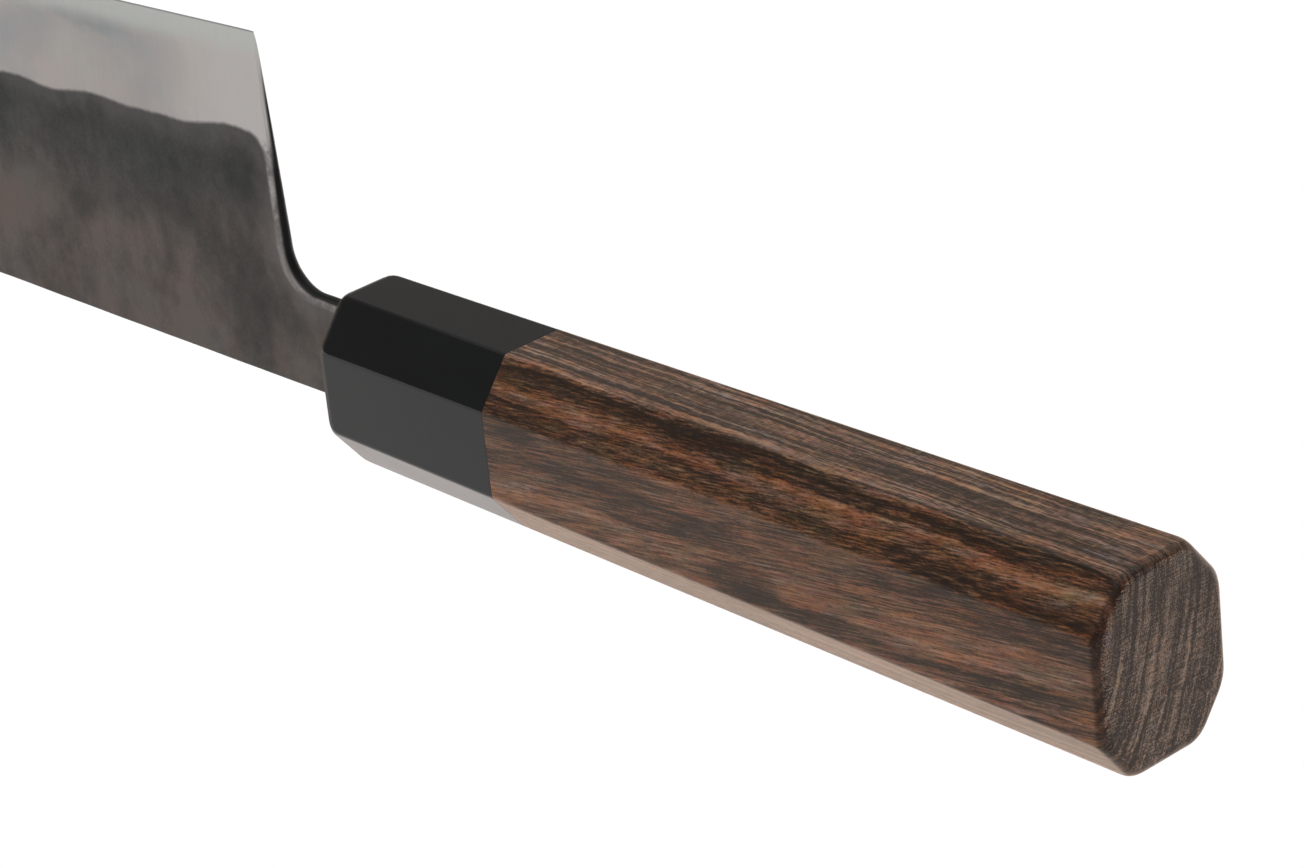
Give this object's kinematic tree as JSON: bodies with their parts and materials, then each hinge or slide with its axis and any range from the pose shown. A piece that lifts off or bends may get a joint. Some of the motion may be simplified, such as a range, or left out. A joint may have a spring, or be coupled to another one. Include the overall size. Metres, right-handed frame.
{
  "type": "gyuto knife",
  "caption": "Japanese cook's knife with a wedge-ground layered blade, dark forge finish above a ground bevel, horn ferrule and octagonal hardwood handle, for slicing and chopping.",
  "frame": {"origin": "centre of the knife's length and width, on the plane of the handle's spine-side flat", "axes": "+X from the tip to the butt, +Z from the spine to the cutting edge, -Y out of the blade's right-hand face; the knife stands edge up as in the picture"},
  "size_m": [0.393, 0.0208, 0.0549],
  "materials": {
    "core_steel": "fine satin, ground to the edge",
    "clad_iron": "dark brown-grey forge scale, satin grey on the ground bevel",
    "horn": "black buffalo horn, satin",
    "hardwood": "dark striped hardwood, oiled, open pores",
    "dowel_wood": "plain pale wood",
    "resin": "dark resin, semi-gloss"
  },
  "bodies": {
    "root": {"core_steel": "core_steel", "cladding_left": "clad_iron", "cladding_right": "clad_iron", "ferrule": "horn", "handle_body": "hardwood", "inner_dowel": "dowel_wood", "tang_resin": "resin"}
  },
  "joints": []
}
